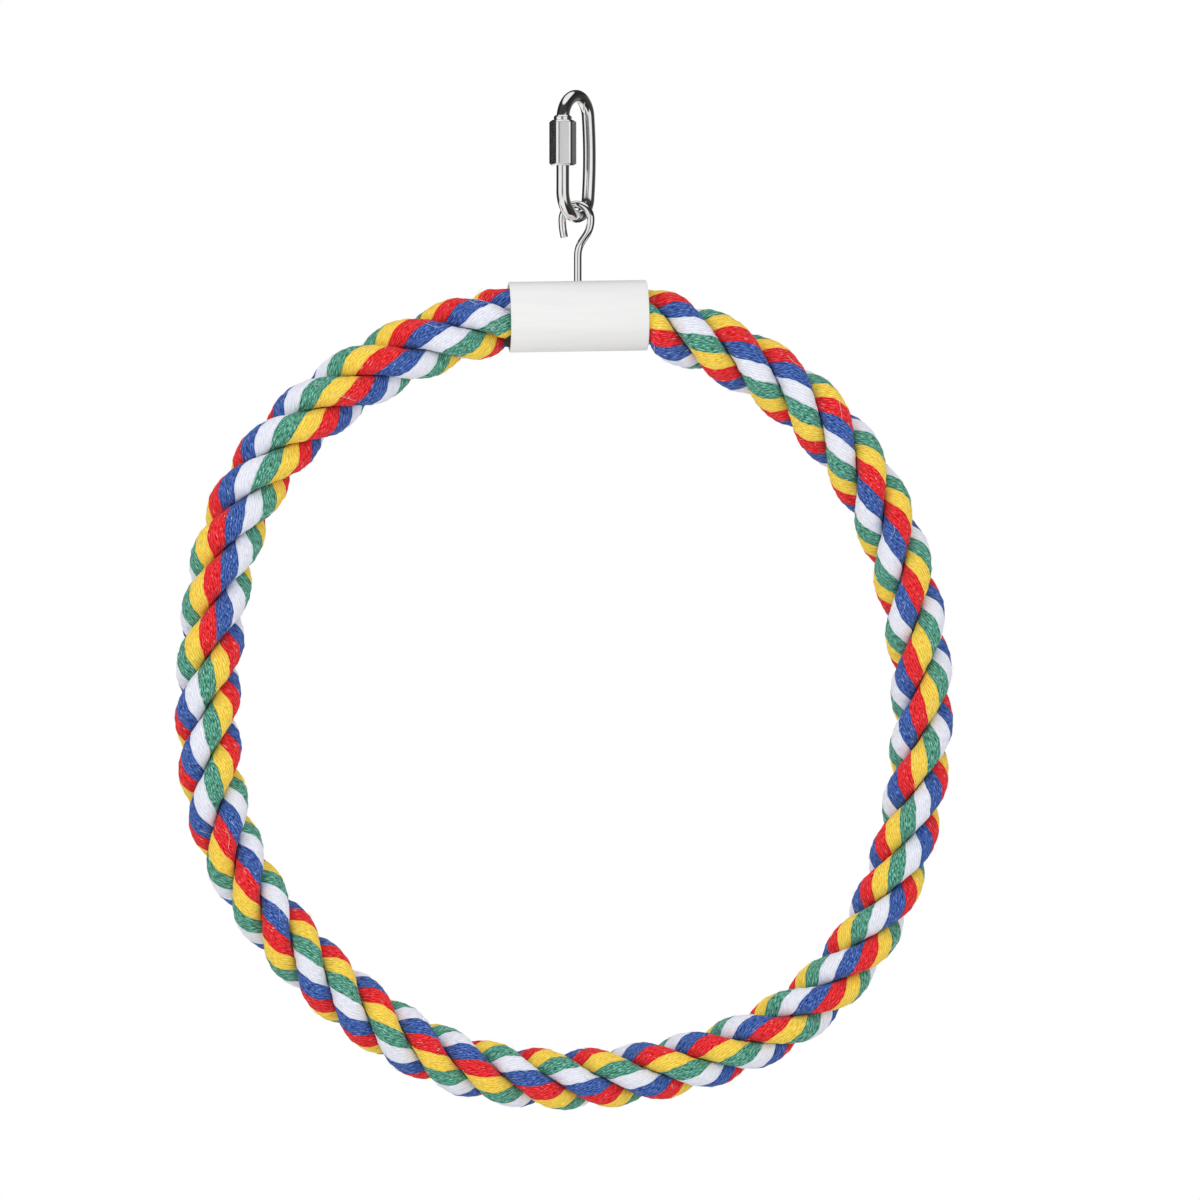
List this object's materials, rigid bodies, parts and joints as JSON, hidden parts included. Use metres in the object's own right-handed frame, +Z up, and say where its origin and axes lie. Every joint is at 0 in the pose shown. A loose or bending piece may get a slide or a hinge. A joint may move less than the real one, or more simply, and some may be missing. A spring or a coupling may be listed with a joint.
{
  "type": "parrot climbing ring",
  "caption": "Hanging climbing ring for a parrot: striped cotton rope on a wire core, closed by a white plastic sleeve and hung by a wire hook from a screw-lock quick link.",
  "frame": {"origin": "inside the quick link's upper bow, where it hangs on a cage bar", "axes": "+Z up, away from the ring; the ring lies in the XZ plane and its front faces -Y"},
  "size_m": [0.2412, 0.0221, 0.3144],
  "materials": {
    "polished_steel": "polished stainless steel",
    "hook_wire": "drawn wire, bright",
    "galvanised_steel": "dull zinc",
    "white_plastic": "satin",
    "striped_cotton": "soft twisted yarn in white, green, yellow, red and blue",
    "dark_tape": "matte",
    "hot_glue": "waxy"
  },
  "bodies": {
    "quick_link": {"quick_link_body": "polished_steel"},
    "link_nut": {"quick_link_nut": "polished_steel"},
    "hook": {"swing_hook": "hook_wire", "hook_washer": "galvanised_steel"},
    "ring": {"joining_sleeve": "white_plastic", "rope_strand_1": "striped_cotton", "rope_strand_2": "striped_cotton", "rope_strand_3": "striped_cotton", "core_wire": "galvanised_steel", "core_ferrule": "galvanised_steel", "end_tape_left": "dark_tape", "end_tape_right": "dark_tape", "glue_band_left": "hot_glue", "glue_band_right": "hot_glue"}
  },
  "joints": [
    {"name": "nut_travel", "type": "slide", "parent": "quick_link", "child": "link_nut", "axis": [0, 0, -1], "range_m": [0, 0.0075]},
    {"name": "hook_swing", "type": "hinge", "parent": "quick_link", "child": "hook", "pos_m": [0, 0, -0.035], "axis": [0.6211, 0.7837, 0], "range_deg": [-75, 75]},
    {"name": "ring_swivel", "type": "hinge", "parent": "hook", "child": "ring", "pos_m": [0.0004, 0, -0.055], "axis": [0, 0, 1], "continuous": true}
  ]
}
